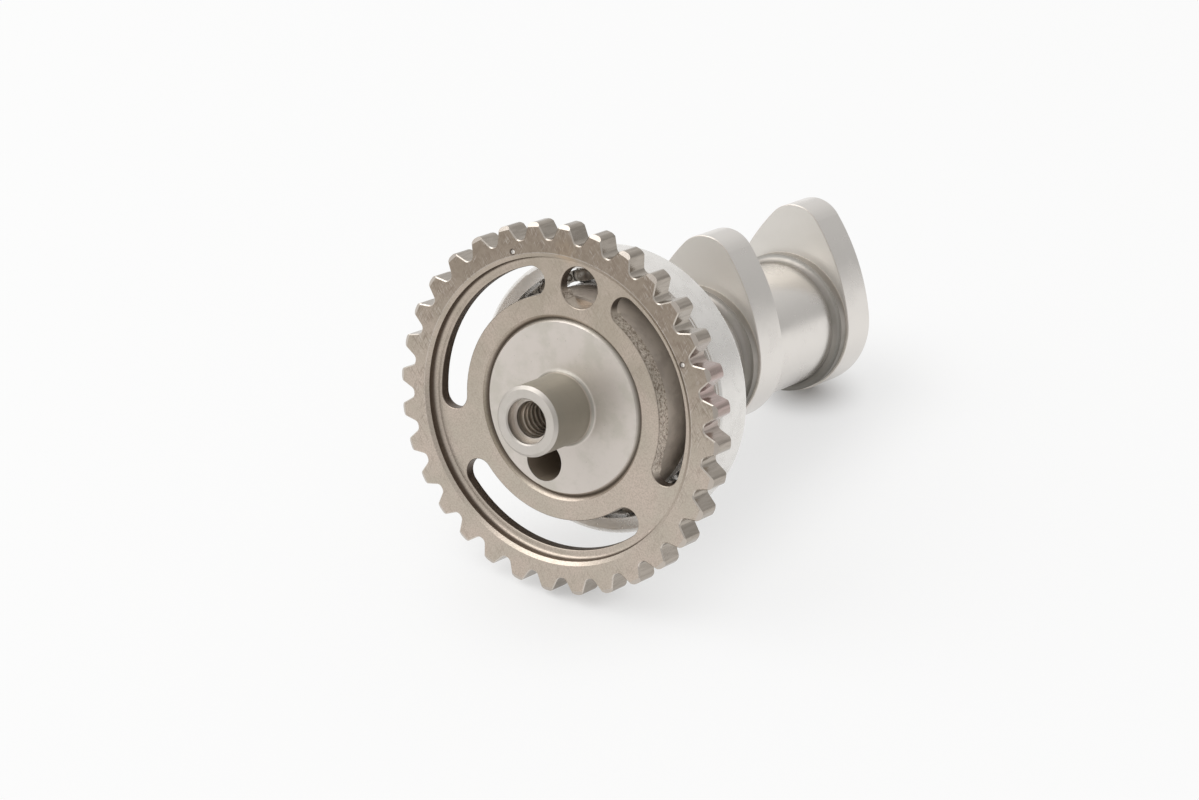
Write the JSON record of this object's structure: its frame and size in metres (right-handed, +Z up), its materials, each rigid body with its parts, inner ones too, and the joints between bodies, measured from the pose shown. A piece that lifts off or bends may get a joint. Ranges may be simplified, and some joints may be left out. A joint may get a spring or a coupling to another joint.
{
  "type": "camshaft",
  "caption": "Short camshaft with parallel lobes, a toothed chain sprocket at the front and an open ball bearing behind it on the shaft.",
  "frame": {"origin": "ground point under the middle of the part's length and width, as it lies at rest on its sprocket teeth and rear lobe", "axes": "+X from the sprocket end towards the tail, level; +Y to the left seen from behind the sprocket looking back along the shaft; +Z up. The shaft's axis slopes down towards the tail in the XZ plane."},
  "size_m": [0.1018, 0.0676, 0.0667],
  "materials": {
    "shaft_steel": "hardened steel, satin turned faces and ground bright lobes and journal",
    "sprocket_steel": "sintered steel, bronze-grey, matt with fine oblique scratches",
    "sleeve_steel": "turned steel, dark satin",
    "ring_steel": "ground bearing steel, light satin",
    "ball_steel": "polished bearing steel",
    "cage_steel": "pressed sheet steel, satin"
  },
  "bodies": {
    "shaft_and_sprocket": {"camshaft": "shaft_steel", "sprocket": "sprocket_steel", "spacer_sleeve": "sleeve_steel", "bearing_inner_ring": "ring_steel"},
    "outer_ring": {"bearing_outer_ring": "ring_steel"},
    "ball_cage": {"bearing_balls": "ball_steel", "cage_front_half": "cage_steel", "cage_rear_half": "cage_steel", "cage_rivets": "cage_steel"}
  },
  "joints": [
    {"name": "outer_ring_spin", "type": "hinge", "parent": "shaft_and_sprocket", "child": "outer_ring", "pos_m": [-0.02245, 0, 0.02963], "axis": [0.9728, 0, -0.2316], "continuous": true},
    {"name": "ball_cage_spin", "type": "hinge", "parent": "shaft_and_sprocket", "child": "ball_cage", "pos_m": [-0.02245, 0, 0.02963], "axis": [0.9728, 0, -0.2316], "continuous": true}
  ],
  "couplings": [
    {"joint": "ball_cage_spin", "follows": "outer_ring_spin", "ratio": 0.55522}
  ]
}
